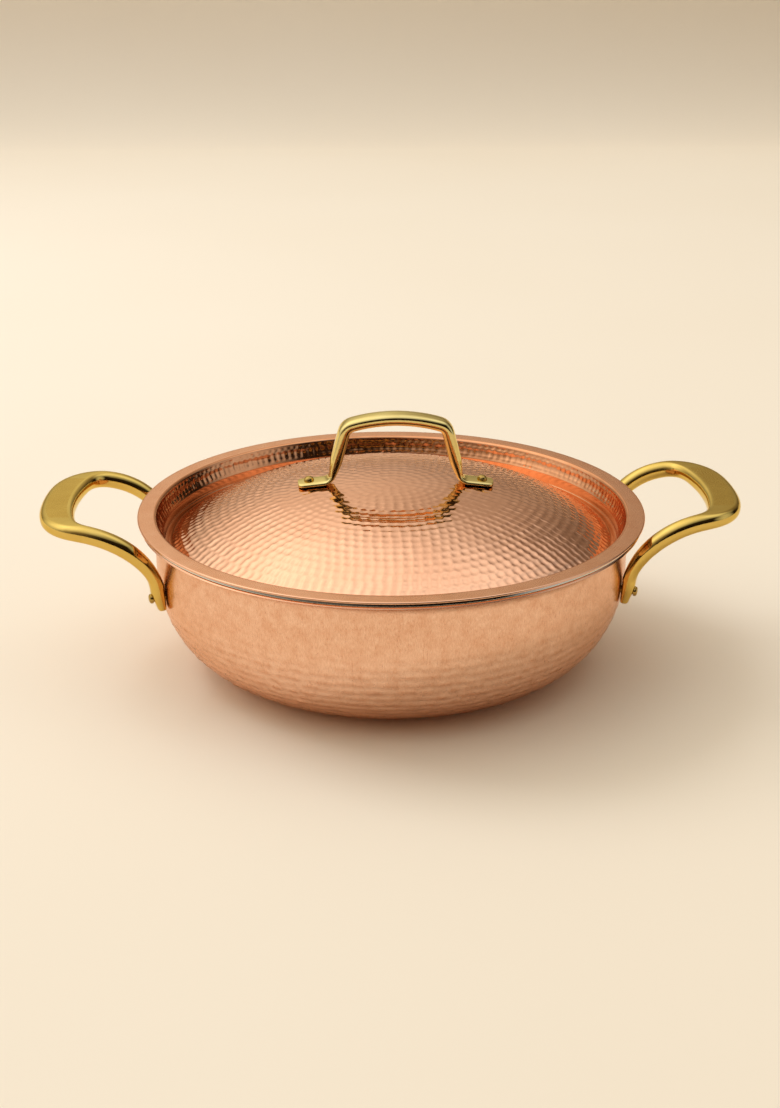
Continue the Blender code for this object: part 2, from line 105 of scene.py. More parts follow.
camera_data = bpy.data.cameras.new("camera")
camera_data.sensor_width = SENSOR
camera_data.lens = FOCAL_LENGTH * SENSOR / PICTURE_HEIGHT
camera = bpy.data.objects.new("camera", camera_data)
bpy.context.scene.collection.objects.link(camera)
backwards = Vector((0.0, -math.cos(CAMERA_PITCH), math.sin(CAMERA_PITCH)))
facing_aim = (-backwards).to_track_quat("-Z", "Y").to_matrix().to_4x4()
stand = Matrix.Translation(AIM + backwards * CAMERA_DISTANCE) @ facing_aim
camera.matrix_world = Matrix.Rotation(CAMERA_TURN, 4, "Z") @ stand
bpy.context.scene.camera = camera
bpy.context.scene.view_settings.view_transform = "Standard"
print("lens", round(camera_data.lens, 2), "mm")

# %% [markdown]
# ## Rings into a mesh
# Every piece here is a stack of rings: a turned piece has its rings around the axis, a handle has them around
# its path. Neighbouring rings with the same count are joined by quads. Where a ring has twice as many points
# as the next, three triangles stand on each step, so a dome needs few points near its middle. Each end is
# closed by a fan around one point.

# %% A closed mesh from rings
SMOOTH_ANGLE = math.radians(40)


def band_faces(first, count, second, following):
    """Faces between a ring that starts at index first and the next one. Step i runs from point i to i + 1."""
    step = np.arange(min(count, following))
    if count == following:
        ahead = (step + 1) % count
        quads = np.stack([first + step, first + ahead, second + ahead, second + step], axis=1)
        return quads.tolist()
    wide, narrow = (first, second) if count > following else (second, first)
    here, middle, there = wide + 2 * step, wide + 2 * step + 1, wide + (2 * step + 2) % (2 * len(step))
    near, far = narrow + step, narrow + (step + 1) % len(step)
    triangles = np.concatenate([np.stack([here, middle, near], axis=1), np.stack([middle, far, near], axis=1),
                                np.stack([middle, there, far], axis=1)])
    if count < following:
        triangles = triangles[:, ::-1]
    return triangles.tolist()


def volume(mesh):
    """The volume inside a closed mesh, negative where its faces look inwards."""
    return sum(face.area * face.center.dot(face.normal) for face in mesh.polygons) / 3.0


def closed_mesh(name, rings, start_pole, end_pole, material_rows=()):
    """A closed mesh from a list of rings, each an array of points, with a pole at each end. Its faces look out.

    material_rows gives, for each ring, the material slot of the band that follows it.
    """
    counts = [len(ring) for ring in rings]
    starts = np.concatenate([[0], np.cumsum(counts)])
    points = np.concatenate([*rings, [start_pole], [end_pole]])
    faces, slots = [], []
    for index in range(len(rings) - 1):
        band = band_faces(starts[index], counts[index], starts[index + 1], counts[index + 1])
        faces += band
        slots += [material_rows[index] if len(material_rows) else 0] * len(band)
    for first, count, pole, flip in ((starts[0], counts[0], len(points) - 2, -1),
                                     (starts[len(rings) - 1], counts[-1], len(points) - 1, 1)):
        step = np.arange(count)
        fan = np.stack([first + step, first + (step + 1) % count, np.full(count, pole)], axis=1)[:, ::flip]
        faces += fan.tolist()
        slots += [material_rows[0 if flip < 0 else -1] if len(material_rows) else 0] * count
    mesh = bpy.data.meshes.new(name)
    mesh.from_pydata(points.tolist(), [], faces)
    mesh.polygons.foreach_set("material_index", slots)
    if volume(mesh) < 0.0:
        mesh.flip_normals()
    mesh.shade_smooth()
    mesh.set_sharp_from_angle(angle=SMOOTH_ANGLE)
    mesh.validate()
    return mesh


def add_piece(name, mesh, body, nodes, materials):
    """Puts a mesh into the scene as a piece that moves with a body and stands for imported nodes."""
    piece = bpy.data.objects.new(name, mesh)
    bpy.context.scene.collection.objects.link(piece)
    for material in materials:
        mesh.materials.append(material)
    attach(piece, body)
    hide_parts(*nodes)
    mesh.calc_loop_triangles()
    print(name, len(mesh.loop_triangles), "triangles,", round(volume(mesh) * 1e6, 2), "ml")
    return piece

# %% [markdown]
# ## Hammer marks
# A planishing hammer leaves shallow bowls that meet in soft ridges, set in rings because the coppersmith turns
# the work under the hammer. Each point's height follows the square of its distance to the nearest mark, so the
# bowls meet in ridges by themselves. Neighbouring rings are staggered, and each mark is shifted and deepened a
# little by its own number, as hand work is.

# %% Heights of hammered metal
MARK_UNEVENNESS = 0.6       # between the shallowest and the deepest mark, as a share of the depth


def scatter(ring, mark, salt):
    """A number from -0.5 to 0.5 for each mark, the same each time: what is left of a large sine, less a half."""
    value = np.sin(ring * 12.9898 + mark * 78.233 + salt * 37.719) * 43758.5453
    return value - np.floor(value) - 0.5


def hammer_height(along, angles, ring_radius, pitch_along, pitch_around, depth, wander, sideways=1.0):
    """Heights at a distance along the outline and at an array of angles. ring_radius gives a ring's radius.

    A ring has a whole number of marks, one pitch_around apart. A mark's bowl is (distance / half pitch) squared
    deep, less one, times depth, and the nearest of the marks in three rings counts. sideways is how much of the
    way around the ring counts: with little of it, the marks of a ring run into one wavy groove.
    """
    nearest = np.full(len(angles), np.inf)
    strength = np.ones(len(angles))
    home = math.floor(along / pitch_along)
    radius = ring_radius(along)
    for ring in (home - 1, home, home + 1):
        if ring < 0:
            continue
        middle = (ring + 0.5) * pitch_along
        marks = max(1, round(2.0 * math.pi * ring_radius(middle) / pitch_around))
        step = 2.0 * math.pi / marks
        phase = 0.5 * step * (ring % 2)
        mark = np.round((angles - phase) / step)
        own = mark % marks
        off_along = (along - middle) / pitch_along - wander * scatter(ring, own, 1.0)
        off_around = (angles - phase - mark * step) * radius / pitch_around - wander * scatter(ring, own, 2.0)
        distance = 4.0 * (off_along ** 2 + sideways * off_around ** 2)
        closer = distance < nearest
        nearest = np.where(closer, distance, nearest)
        strength = np.where(closer, 1.0 + MARK_UNEVENNESS * scatter(ring, own, 3.0), strength)
    return depth * strength * (nearest - 1.0)


def mix(first, second, share):
    """The value a share of the way from the first to the second."""
    return first + (second - first) * share


def run_lengths(outline):
    """The distance along an outline at each of its points: the sum of the steps before it."""
    return np.concatenate([[0.0], np.cumsum(np.hypot(*np.diff(outline, axis=0).T))])


def radius_along(outline):
    """A function that gives an outline's radius at a distance along it, by straight lines between its points."""
    runs = run_lengths(outline)

    def radius_at(run):
        return float(np.interp(run, runs, outline[:, 0]))
    return radius_at


def follow(points, spacing):
    """Points about a spacing apart along straight lines through the given ones."""
    points = np.array(points)
    runs = run_lengths(points)
    places = np.linspace(0.0, runs[-1], max(2, math.ceil(runs[-1] / spacing) + 1))
    return np.stack([np.interp(places, runs, points[:, 0]), np.interp(places, runs, points[:, 1])], axis=1)


def outline_normals(outline):
    """Unit normals of an outline in radius and height, to the left of its direction."""
    runs = np.gradient(outline, axis=0)
    normals = np.stack([-runs[:, 1], runs[:, 0]], axis=1)
    return normals / np.linalg.norm(normals, axis=1, keepdims=True)


def arc(centre, radius, start, end, count):
    """Points on an arc from angle start to angle end, in degrees, as radius and height."""
    angles = np.radians(np.linspace(start, end, count))
    return np.stack([centre[0] + radius * np.cos(angles), centre[1] + radius * np.sin(angles)], axis=1)


def turn_rings(outline, columns, heights=None):
    """Rings around the axis from an outline in radius and height. heights(index, angles) raises each ring."""
    normals = outline_normals(outline)
    rings = []
    for index, ((radius, height), normal) in enumerate(zip(outline, normals)):
        angles = 2.0 * np.pi * np.arange(columns[index]) / columns[index]
        raised = np.zeros(len(angles)) if heights is None else heights(index, angles)
        out = radius + normal[0] * raised
        rings.append(np.stack([out * np.cos(angles), out * np.sin(angles), height + normal[1] * raised], axis=1))
    return rings

# %% [markdown]
# ## Materials
# Copper, brass and stainless steel are all metals, so each is a Principled shader at metallic 1 whose base
# colour is the colour of its reflections. What sets one finish from another is roughness and a very fine
# relief: brushed lines, the grain of a satin wheel, or next to nothing on a polished face. Colours are written
# as hex values and turned to linear light once.

# %% Colours and nodes
GRAIN_LOW, GRAIN_HIGH = 0.3, 0.7     # nearly all values of the grain's noise lie between these


def linear(hex_colour):
    """A colour written as six hex digits, as linear red, green, blue and alpha."""
    channels = [int(hex_colour[index:index + 2], 16) / 255.0 for index in (0, 2, 4)]
    return (*[c / 12.92 if c <= 0.04045 else ((c + 0.055) / 1.055) ** 2.4 for c in channels], 1.0)


def add_node(tree, kind, settings, inputs):
    """Adds a node with its settings. An input given as a socket is linked, and another value is set on it."""
    node = tree.nodes.new(kind)
    for name, value in settings.items():
        setattr(node, name, value)
    for name, value in inputs.items():
        if isinstance(value, bpy.types.NodeSocket):
            tree.links.new(value, node.inputs[name])
        else:
            node.inputs[name].default_value = value
    return node


def metal(name, light, dark, mottle_mm, grain_mm, grain_stretch, roughness, roughness_spread, relief_mm,
          glance="F9E7D7", fleck=0.0, ridge_shade=0.0):
    """A metal whose colour drifts between two tones, with a fine grain in its roughness and relief.

    mottle_mm is the size of the drift, grain_mm the width of the grain along X, Y and Z before grain_stretch,
    relief_mm the grain's height and fleck how much the grain shows in the colour. These read Object coordinates,
    so nothing slides when the piece moves. glance tints what is seen at a flat angle, and the last argument is
    painted shade: how much darker a hammered piece's ridges are painted than the middles of its marks, read from
    the piece's own attribute.
    """
    material = bpy.data.materials.new(name)
    material.use_nodes = True
    tree = material.node_tree
    shader = tree.nodes["Principled BSDF"]
    shader.inputs["Metallic"].default_value = 1.0
    shader.inputs["Specular Tint"].default_value = linear(glance)
    place = add_node(tree, "ShaderNodeTexCoord", {}, {}).outputs["Object"]
    mottle = add_node(tree, "ShaderNodeTexNoise", {}, {"Vector": place, "Scale": 1000.0 / mottle_mm, "Detail": 3.0})
    stretched = add_node(tree, "ShaderNodeMapping", {}, {"Vector": place, "Scale": grain_stretch})
    grain = add_node(tree, "ShaderNodeTexNoise", {},
                     {"Vector": stretched.outputs["Vector"], "Scale": 1000.0 / grain_mm, "Detail": 2.0})
    flecks = add_node(tree, "ShaderNodeMapRange", {},
                      {"Value": grain.outputs["Fac"], "From Min": GRAIN_LOW, "From Max": GRAIN_HIGH,
                       "To Min": -fleck, "To Max": fleck})
    tone = add_node(tree, "ShaderNodeMath", {"operation": "ADD", "use_clamp": True},
                    {0: mottle.outputs["Fac"], 1: flecks.outputs["Result"]})
    # Painted shade: from the marks' heights, the ridges between hammer marks are painted darker and the bowls
    # lighter.
    bowl = add_node(tree, "ShaderNodeAttribute", {"attribute_name": "bowl"}, {})
    hammered = add_node(tree, "ShaderNodeMath", {"operation": "MULTIPLY_ADD", "use_clamp": True},
                        {0: bowl.outputs["Fac"], 1: ridge_shade, 2: tone.outputs["Value"]})
    colour = add_node(tree, "ShaderNodeMix", {"data_type": "RGBA"},
                      {0: hammered.outputs["Value"], 6: linear(light), 7: linear(dark)})
    rough = add_node(tree, "ShaderNodeMapRange", {},
                     {"Value": grain.outputs["Fac"], "From Min": GRAIN_LOW, "From Max": GRAIN_HIGH,
                      "To Min": roughness - roughness_spread, "To Max": roughness + roughness_spread})
    bump = add_node(tree, "ShaderNodeBump", {}, {"Height": grain.outputs["Fac"], "Distance": relief_mm / 1000.0})
    tree.links.new(colour.outputs[2], shader.inputs["Base Color"])
    tree.links.new(rough.outputs["Result"], shader.inputs["Roughness"])
    tree.links.new(bump.outputs["Normal"], shader.inputs["Normal"])
    return material

# %% [markdown]
# The pan's outside is satin copper, brushed up and down: its grain is long in Z and gives soft, upright
# streaks. The ridges between its hammer marks are painted darker than the bowls, as painted shade along the
# rows of marks. The dome is copper polished after hammering, nearly a mirror, so each bowl holds its own small
# picture of the room. The flange was ground flat and left satin, which gives it one even sheen. The recess
# between them is polished too, and is painted darker and redder as painted shade in the hollow.
#
# The side handles are cast brass, polished to long highlights except for the flat ground on the grips, which is
# dull and even. The strap is a paler brass and the rivets are a darker one. The linings are satin stainless
# steel, and the pan's has a bright edge. Brushed lines are a few hundredths of a millimetre wide, too fine to
# show here, so the finest grain is drawn 0.35 to 0.6 mm wide.

# %% The finishes
SQUARE = (1.0, 1.0, 1.0)
# The pan's copper carries painted shade: the ridges between its hammer marks are painted darker.
brushed_copper = metal("copper_satin_brushed", "F8CDB0", "DCA27E", 5.0, 0.5, (1.0, 1.0, 0.30), 0.23, 0.05, 0.012,
                       fleck=0.24, ridge_shade=0.60)
polished_copper = metal("copper_hammered_polished", "F6C09B", "E8AB84", 24.0, 1.2, SQUARE, 0.09, 0.02, 0.002)
# Painted shade: the recess's copper is painted darker and redder than the dome's, for the shade in the hollow.
recess_shade_copper = metal("copper_recess_painted_shade", "EBAA7D", "C98555", 9.0, 1.2, SQUARE, 0.13, 0.03, 0.003)
ground_copper = metal("copper_satin_flange", "F4BC92", "E3A174", 7.0, 0.5, SQUARE, 0.26, 0.05, 0.004, fleck=0.2)
cast_brass = metal("brass_cast_polished", "E3C26C", "CEA94F", 12.0, 3.0, SQUARE, 0.09, 0.03, 0.025, "F8F0CC")
ground_brass = metal("brass_cast_ground_satin", "DCB65A", "C59C44", 7.0, 0.35, SQUARE, 0.24, 0.06, 0.006, "F8F0CC",
                     fleck=0.2)
strap_brass = metal("brass_strap_polished", "EBD691", "DABF74", 10.0, 2.5, SQUARE, 0.10, 0.03, 0.015, "F8F0CC")
rivet_brass = metal("brass_rivet", "C3A158", "9C7D42", 4.0, 0.5, SQUARE, 0.16, 0.04, 0.004, "F8F0CC")
satin_steel = metal("stainless_satin", "D2CFCA", "BDB9B2", 12.0, 0.6, (1.0, 1.0, 0.3), 0.26, 0.05, 0.004, "FFFFFF")
bright_steel = metal("stainless_polished_edge", "DFD6C8", "CCC2B2", 12.0, 0.6, SQUARE, 0.07, 0.02, 0.001, "FFFFFF")
print("materials:", sorted(m.name for m in bpy.data.materials if m.users))

# %% [markdown]
# ## The pan's copper shell
# It was spun from one disc: a flat base, a round lower corner, an upright wall and a flare that carries the
# steel's edge. The corner is a superellipse, a circle's equation with a power a little over 2. The lower half
# keeps rows of hammer marks under the brushing. They run into each other around the pan as level, wavy
# grooves, and fade out where the wall turns upright. The cut edges of both sheets lean back a little, so the
# copper's mirrors the bright room above and the steel's the darker room in front.

# %% The pan's copper shell
PAN_COLUMNS = 720
FLARE_ROWS = 13
CORNER_ROWS = 70
EDGE_ROWS = 6
INSIDE_SPACING = 0.004      # between rows, where the sheet is plain and hardly seen
FLARE_SPACING = 0.0009
WALL_ROW_SPACING = 0.003
CORNER_SPACING = 0.0012
BASE_SPACING = 0.006
PAN_MARK_ALONG = 0.0043
PAN_MARK_AROUND = 0.0038
PAN_MARK_DEPTH = 0.000360
PAN_MARK_WANDER = 0.30
PAN_MARK_SIDEWAYS = 0.22    # little of the way around counts, so a row is one wavy groove
MARKS_FADE_Z = 0.049
MARKS_FADE_RUN = 0.020
BASE_FADE_RUN = 0.002
EDGE_UPPER_SHARE = 0.22     # of a sheet's thickness, the rounding of its edge's upper corner
EDGE_LOWER_SHARE = 0.07     # and of the lower one
COPPER_EDGE_LEAN = 45.0     # degrees that a sheet's edge leans back between them
STEEL_EDGE_LEAN = 17.0
LINING_SET_BACK = 0.0003    # how far the steel's edge stands inside the copper's


def pan_side(offset):
    """The pan's outline from the lip's edge to the middle of the base, moved inwards by an offset.

    The flare is an arc, the wall is straight, and the corner is the superellipse
    (x / a) ** power + (z / b) ** power = 1 from the wall to the flat base.
    """
    centre = (PAN_RADIUS + FLARE_RADIUS, LIP_Z - FLARE_RADIUS)
    flare = arc(centre, FLARE_RADIUS + offset, 90.0, 180.0, FLARE_ROWS)
    angles = np.linspace(0.0, 0.5 * np.pi, CORNER_ROWS)
    across = np.cos(angles) ** (2.0 / CORNER_POWER)
    down = np.sin(angles) ** (2.0 / CORNER_POWER)
    corner = np.stack([BASE_RADIUS + (PAN_RADIUS - BASE_RADIUS) * across, CORNER_HEIGHT * (1.0 - down)], axis=1)
    corner += outline_normals(corner) * -offset
    return np.concatenate([[(LIP_RADIUS, LIP_Z + offset)], flare, corner, [(0.0, offset)]])


def sheet_edge(outer, inner, lean):
    """A sheet's edge from its upper side to its lower: an arc, a straight face that leans back, and an arc."""
    thickness = inner[1] - outer[1]
    upper_radius, lower_radius = EDGE_UPPER_SHARE * thickness, EDGE_LOWER_SHARE * thickness
    set_back = (thickness - upper_radius - lower_radius) * math.tan(math.radians(lean))
    upper = arc((outer[0] - upper_radius - set_back, inner[1] - upper_radius), upper_radius, 90.0, lean, EDGE_ROWS)
    lower = arc((outer[0] - lower_radius, outer[1] + lower_radius), lower_radius, lean, -90.0, EDGE_ROWS)
    return np.concatenate([upper, lower])


def shell_outline(inside_offset, outside_offset, lean, back=0.0):
    """A sheet between two offsets of the pan's outline, in three parts: up its inside, over its edge and down
    its outside. back moves the edge inwards.
    """
    inside = pan_side(inside_offset)
    outside = pan_side(outside_offset)
    edge = sheet_edge(outside[0] - (back, 0.0), inside[0] - (back, 0.0), lean)
    return inside[:0:-1], edge, outside[1:]


def edge_slots(inside, edge, outside):
    """The material slot of each band of a sheet: 1 on its edge and 0 elsewhere."""
    return [0] * (len(inside) - 1) + [1] * (len(edge) + 1) + [0] * len(outside)


def pan_marks(outline):
    """Heights of the marks on the pan's outside, none above the corner and none on the flat base."""
    runs = run_lengths(outline)
    radius_at = radius_along(outline)

    def height(index, angles):
        z = outline[index, 1]
        fade = np.clip((MARKS_FADE_Z - z) / MARKS_FADE_RUN, 0.0, 1.0) * np.clip(z / BASE_FADE_RUN, 0.0, 1.0)
        if fade == 0.0:
            return np.zeros(len(angles))
        return fade * hammer_height(runs[index], angles, radius_at, PAN_MARK_ALONG, PAN_MARK_AROUND,
                                    PAN_MARK_DEPTH, PAN_MARK_WANDER, PAN_MARK_SIDEWAYS)
    return height


def pan_rings():
    """Rings from the inside's middle over the lip to the base's middle, and how high each point is raised.

    Rows lie close together on the flare and where the marks are, and far apart elsewhere.
    """
    inside, edge, outside = shell_outline(PAN_SKIN, 0.0, COPPER_EDGE_LEAN)
    inside = follow(inside, INSIDE_SPACING)[1:]
    flare, wall = outside[:FLARE_ROWS], outside[FLARE_ROWS - 1:FLARE_ROWS + 1]
    corner, base = outside[FLARE_ROWS:-1], outside[-2:]
    outside = np.concatenate([follow(flare, FLARE_SPACING), follow(wall, WALL_ROW_SPACING)[1:],
                              follow(corner, CORNER_SPACING)[1:], follow(base, BASE_SPACING)[1:-1]])
    marks = pan_marks(outside)
    rings = turn_rings(inside, [PAN_COLUMNS // 2] * len(inside)) + turn_rings(edge, [PAN_COLUMNS] * len(edge))
    angles = 2.0 * np.pi * np.arange(PAN_COLUMNS) / PAN_COLUMNS
    raised = [np.zeros(sum(len(ring) for ring in rings))] + [marks(index, angles) for index in range(len(outside))]
    rings += turn_rings(outside, [PAN_COLUMNS] * len(outside), marks)
    return rings, edge_slots(inside, edge, outside), np.concatenate([*raised, [0.0, 0.0]])


pan_stack, pan_slots, pan_raised = pan_rings()
pan_mesh = closed_mesh("pan_body", pan_stack, (0.0, 0.0, PAN_SKIN), (0.0, 0.0, 0.0), pan_slots)
# The marks' heights, from which the pan's copper paints shade on the ridges between its marks.
pan_mesh.attributes.new("bowl", "FLOAT", "POINT").data.foreach_set("value", pan_raised / PAN_MARK_DEPTH)
add_piece("pan_body", pan_mesh, "pan", ["pan_copper_shell"], [brushed_copper, polished_copper])

# %% [markdown]
# ## The pan's steel lining
# A thicker steel bowl sits inside the copper and turns out over it at the lip. Its edge was polished after it
# was trimmed, and is set back a little from the copper's: the thin dark line under the lid.

# %% The pan's steel lining
LINING_COLUMNS = 240
LINING_SPACING = 0.0025


def lining_rings():
    """The lining's rings, and the slot of each band: its edge is polished and the rest is satin."""
    inside, edge, outside = shell_outline(PAN_WALL, LINING_START, STEEL_EDGE_LEAN, LINING_SET_BACK)
    inside, outside = follow(inside, LINING_SPACING)[1:], follow(outside, INSIDE_SPACING)[:-1]
    outline = np.concatenate([inside, edge, outside])
    return turn_rings(outline, [LINING_COLUMNS] * len(outline)), edge_slots(inside, edge, outside)


lining_stack, lining_slots = lining_rings()
lining_mesh = closed_mesh("pan_lining", lining_stack, (0.0, 0.0, PAN_WALL), (0.0, 0.0, LINING_START), lining_slots)
add_piece("pan_lining", lining_mesh, "pan", ["pan_steel_lining"], [satin_steel, bright_steel])

# %% [markdown]
# ## The lid's copper shell
# From the crown outwards it is a hammered dome, a narrow valley, a short plain wall up to a thin ledge, a
# leaning wall with upright marks, and a flat flange that rests on the pan. Rings double their points as they
# grow, so that one hammer mark has about as many at the edge as near the crown. Where nothing is hammered,
# half as many are enough.

# %% The lid's copper shell
LID_COLUMNS = (90, 180, 360, 720)
LID_COLUMN_RADII = (0.014, 0.028, 0.056)     # where a ring gets twice as many points
PLAIN_COLUMNS = 360                          # at most, where nothing is hammered
DOME_SPACING = 0.00092
WALL_SPACING = 0.0007
DOME_MARK_PITCH = 0.0043
CROWN_MARK_DEPTH = 0.000050
EDGE_MARK_DEPTH = 0.000280
LID_MARK_WANDER = 0.16
DOME_FADE_RUN = 0.003       # the marks end over this much of the dome's foot
WALL_MARK_AROUND = 0.0035
WALL_MARK_ALONG = 0.0044
WALL_MARK_DEPTH = 0.00030
WALL_MARKS_START = 0.0004   # above the ledge
DOME_ROWS = 120
DOME_END = 0.0006           # how far inside VALLEY_RADIUS the dome's curve ends
VALLEY_FILLET = 0.0009
VALLEY_FILLET_RISE = 0.0012  # the fillet's centre above the valley
VALLEY_ROWS = 6
LEDGE_BEAD = 0.0004         # the rounding of the ledge's inner edge
BEAD_END = 80.0             # degrees, where the bead runs into the ledge
BEAD_ROWS = 6
LEDGE_RISE = 0.0002         # from its inner edge to the upright wall
FILLET_START = 168.0        # degrees, where the leaning wall becomes the flange's fillet
FILLET_ROWS = 8
RIM_RADIUS = 0.00060
RIM_ROWS = 7
UNDER_RIM_RADIUS = 0.00025
UNDER_RIM_ROWS = 4
FLANGE_SPACING = 0.002
UNDER_SPACING = 0.003


def dome_height(radius):
    """The dome's height: the crown less a fall that mixes the square and the fourth power of the radius."""
    share = radius / VALLEY_RADIUS
    return CROWN_Z - DOME_RISE * (CROWN_SHARE * share ** 2 + (1.0 - CROWN_SHARE) * share ** 4)


def lid_top_parts():
    """The lid's top side as three outlines: the dome, the recess wall up to the fillet, and the flange."""
    radii = np.linspace(0.0, VALLEY_RADIUS - DOME_END, DOME_ROWS)
    dome = np.stack([radii, dome_height(radii)], axis=1)
    bottom = arc((LEDGE_RADIUS - VALLEY_FILLET, VALLEY_Z + VALLEY_FILLET_RISE), VALLEY_FILLET, -90.0, 0.0,
                 VALLEY_ROWS)
    bead = arc((LEDGE_RADIUS + LEDGE_BEAD, LEDGE_Z - LEDGE_BEAD), LEDGE_BEAD, 180.0, BEAD_END, BEAD_ROWS)
    ledge = [*bead, (LEDGE_RADIUS + WALL_SET, LEDGE_Z + LEDGE_RISE)]
    fillet = arc((FLANGE_START, LID_TOP - FLANGE_FILLET), FLANGE_FILLET, FILLET_START, 90.0, FILLET_ROWS)
    rim = arc((LID_RADIUS - RIM_RADIUS, LID_TOP - RIM_RADIUS), RIM_RADIUS, 90.0, 0.0, RIM_ROWS)
    wall = np.concatenate([dome[-1:], bottom, ledge, fillet[:1]])
    return dome, wall, fillet, rim


def lid_columns(outline, most=LID_COLUMNS[-1]):
    """How many points each ring has: the next larger count past each radius in LID_COLUMN_RADII."""
    steps = np.searchsorted(LID_COLUMN_RADII, outline[:, 0])
    return [min(most, LID_COLUMNS[step]) for step in steps]


def dome_marks(outline):
    """Heights of the dome's marks, which deepen evenly from the crown and are gone at the valley."""
    runs = run_lengths(outline)
    radius_at = radius_along(outline)

    def height(index, angles):
        fade = np.clip((runs[-1] - runs[index]) / DOME_FADE_RUN, 0.0, 1.0)
        depth = mix(CROWN_MARK_DEPTH, EDGE_MARK_DEPTH, runs[index] / runs[-1])
        return fade * hammer_height(runs[index], angles, radius_at, DOME_MARK_PITCH, DOME_MARK_PITCH, depth,
                                    LID_MARK_WANDER)
    return height


def wall_marks(outline):
    """Heights of the upright marks on the leaning wall above the ledge, whose radius is taken as the ledge's."""
    runs = run_lengths(outline)
    above = outline[:, 1] > LEDGE_Z + WALL_MARKS_START
    start = runs[np.argmax(above)]

    def radius_at(run):
        return LEDGE_RADIUS

    def height(index, angles):
        if not above[index]:
            return np.zeros(len(angles))
        return hammer_height(runs[index] - start, angles, radius_at, WALL_MARK_ALONG, WALL_MARK_AROUND,
                             WALL_MARK_DEPTH, LID_MARK_WANDER)
    return height


def under_side(top):
    """The lid's under side: its top side moved down by the sheet's thickness, from the flange to the middle."""
    spread = follow(top, UNDER_SPACING)
    moved = spread - outline_normals(spread) * LID_SKIN
    moved[:, 0] = np.maximum(moved[:, 0], 0.0)
    return moved[::-1]


def lid_rings():
    """The lid's rings and the slot of each band: 0 on the dome and the rim, 1 on the flange and below, 2 in the
    recess. They are laid from the crown out and back under it, then turned round, the under side first.
    """
    dome, wall, fillet, rim = lid_top_parts()
    dome_rows = follow(dome, DOME_SPACING)[1:]
    wall_rows = follow(wall, WALL_SPACING)[1:-1]
    flange_rows = follow([fillet[-1], rim[0]], FLANGE_SPACING)[1:-1]
    edge_rows = arc((LID_RADIUS - UNDER_RIM_RADIUS, LID_TOP - LID_SKIN + UNDER_RIM_RADIUS),
                    UNDER_RIM_RADIUS, 0.0, -90.0, UNDER_RIM_ROWS)
    under = under_side(np.concatenate([dome, wall[1:-1], fillet]))[:-1]
    rings = turn_rings(dome_rows, lid_columns(dome_rows), dome_marks(dome_rows))
    slots = [0] * (len(rings) + 1) + [2] * (len(wall_rows) + len(fillet) - 1)
    slots += [1] * (len(flange_rows) + 1) + [0] * (len(rim) + len(edge_rows) - 1)
    rings += turn_rings(wall_rows, lid_columns(wall_rows), wall_marks(wall_rows))
    rings += turn_rings(fillet, lid_columns(fillet))
    for rows in (flange_rows, rim, edge_rows, under):
        rings += turn_rings(rows, lid_columns(rows, PLAIN_COLUMNS))
    slots += [1] * len(under)
    return rings[::-1], slots[::-1]


lid_stack, lid_slots = lid_rings()
lid_mesh = closed_mesh("lid_body", lid_stack, (0.0, 0.0, CROWN_Z - LID_SKIN), (0.0, 0.0, CROWN_Z), lid_slots)
# Slot 2, the recess, takes the copper that is painted darker as shade.
add_piece("lid_body", lid_mesh, "lid", ["lid_copper_shell"],
          [polished_copper, ground_copper, recess_shade_copper])

# %% [markdown]
# ## The lid's steel lining
# A thin steel dish backs the dome from below. It only shows when the lid is lifted.

# %% The lid's steel lining
LINING_TOP_DROP = 0.0025    # ledge down to the lining's upper edge


def lid_lining_rings():
    """The dome and its valley, moved along their normals by the copper and a gap, and by the steel as well."""
    dome, wall, _, _ = lid_top_parts()
    side = np.concatenate([dome, wall[1:VALLEY_ROWS + 1], [(LEDGE_RADIUS, LEDGE_Z - LINING_TOP_DROP)]])
    spread = follow(side, UNDER_SPACING)
    normals = outline_normals(spread)
    top = (spread - normals * (LID_SKIN + FIT_GAP))[1:]
    under = (spread - normals * (LID_SKIN + FIT_GAP + LID_LINING))[1:]
    outline = np.concatenate([top, under[::-1]])
    return turn_rings(outline, [LINING_COLUMNS] * len(outline))[::-1]


lid_lining_top = CROWN_Z - LID_SKIN - FIT_GAP
lid_lining_mesh = closed_mesh("lid_lining", lid_lining_rings(), (0.0, 0.0, lid_lining_top - LID_LINING),
                              (0.0, 0.0, lid_lining_top))
add_piece("lid_lining", lid_lining_mesh, "lid", ["lid_steel_lining"], [satin_steel])

# %% [markdown]
# ## The side handles
# Each is one brass casting: a flat foot against the wall, a leg that swings out and up, and a thick grip. Its
# path is cubic curves through named places, and its section is a superellipse that grows from the foot to
# the grip. The top of the grip was ground flat, so every point above that level is brought down to it.

# %% Paths and sections
UP = np.array([0.0, 0.0, 1.0])
FOOT_POWER = 2.9
LEG_POWER = 2.15
GRIP_POWER = 2.5


def cubic(points, count):
    """Places on a cubic curve: each point times its share, the shares being those of (keep + share) cubed."""
    share = np.linspace(0.0, 1.0, count)[:, None]
    keep = 1.0 - share
    first, second, third, fourth = points
    return first * keep ** 3 + second * 3 * keep ** 2 * share + third * 3 * keep * share ** 2 + fourth * share ** 3


def unit(vectors):
    """Vectors divided by their lengths."""
    return vectors / np.linalg.norm(vectors, axis=-1, keepdims=True)


def ease(first, second, share):
    """mix with a gentle start and end: three times the share squared less twice its cube."""
    held = np.clip(share, 0.0, 1.0)
    return mix(first, second, held * held * (3.0 - 2.0 * held))


